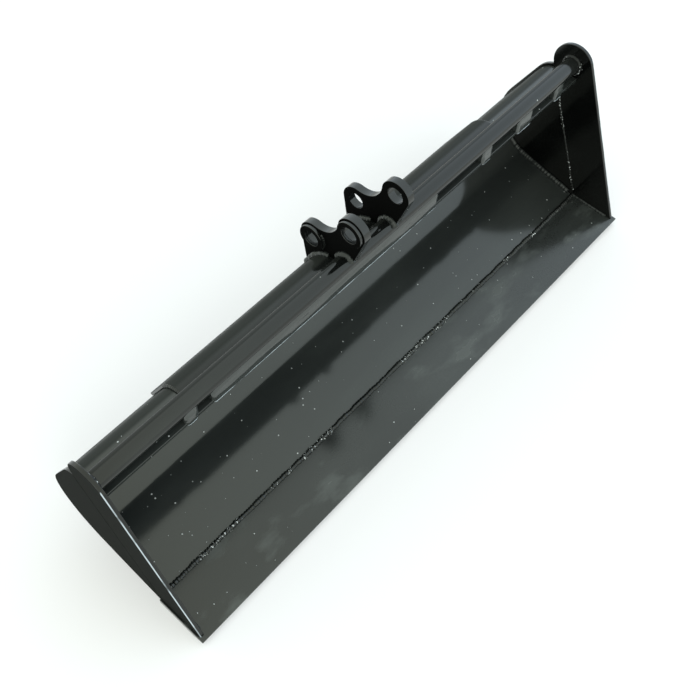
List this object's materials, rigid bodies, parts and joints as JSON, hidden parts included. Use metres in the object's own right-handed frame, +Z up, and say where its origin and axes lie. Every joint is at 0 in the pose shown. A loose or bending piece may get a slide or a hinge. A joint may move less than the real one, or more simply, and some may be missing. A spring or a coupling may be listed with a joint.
{
  "type": "excavator bucket",
  "caption": "Wide shallow toothless ditching bucket for a mini excavator: bent shell, flat cutting edge, top tube and two ears with open pin bores.",
  "frame": {"origin": "centre of the bounding box on the ground face under the cutting edge", "axes": "+X across the bucket's width, +Y from the cutting edge towards the back, +Z up with the cutting edge lying flat"},
  "size_m": [1, 0.2692, 0.3414],
  "materials": {
    "shell_paint": "gloss black enamel",
    "edge_paint": "gloss black enamel, rubbed",
    "side_paint": "gloss black enamel",
    "tube_paint": "gloss black enamel",
    "ear_paint": "gloss black enamel",
    "weld_paint": "gloss black enamel over weld beads"
  },
  "bodies": {
    "root": {"cutting_edge": "edge_paint", "doubler_left_weld": "weld_paint", "doubler_plate": "shell_paint", "doubler_right_weld": "weld_paint", "edge_butt_weld": "weld_paint", "edge_underside_weld": "weld_paint", "left_corner_weld": "weld_paint", "left_ear": "ear_paint", "left_ear_foot_weld_inner": "weld_paint", "left_ear_foot_weld_outer": "weld_paint", "left_ear_front_collar": "ear_paint", "left_ear_front_collar_weld": "weld_paint", "left_ear_rear_collar": "ear_paint", "left_ear_rear_collar_weld": "weld_paint", "left_ear_tube_weld_inner": "weld_paint", "left_ear_tube_weld_outer": "weld_paint", "left_foot_weld": "weld_paint", "left_seam_weld_inner": "weld_paint", "left_seam_weld_outer": "weld_paint", "left_side_cutter": "side_paint", "left_side_plate": "side_paint", "left_tube_end_weld": "weld_paint", "right_corner_weld": "weld_paint", "right_ear": "ear_paint", "right_ear_foot_weld_inner": "weld_paint", "right_ear_foot_weld_outer": "weld_paint", "right_ear_tube_weld_inner": "weld_paint", "right_ear_tube_weld_outer": "weld_paint", "right_foot_weld": "weld_paint", "right_seam_weld_inner": "weld_paint", "right_seam_weld_outer": "weld_paint", "right_side_cutter": "side_paint", "right_side_plate": "side_paint", "right_tube_end_weld": "weld_paint", "shell_plate": "shell_paint", "torque_tube": "tube_paint", "tube_front_weld": "weld_paint", "tube_stitch_weld_1": "weld_paint", "tube_stitch_weld_2": "weld_paint", "tube_stitch_weld_3": "weld_paint", "tube_stitch_weld_4": "weld_paint"}
  },
  "joints": []
}
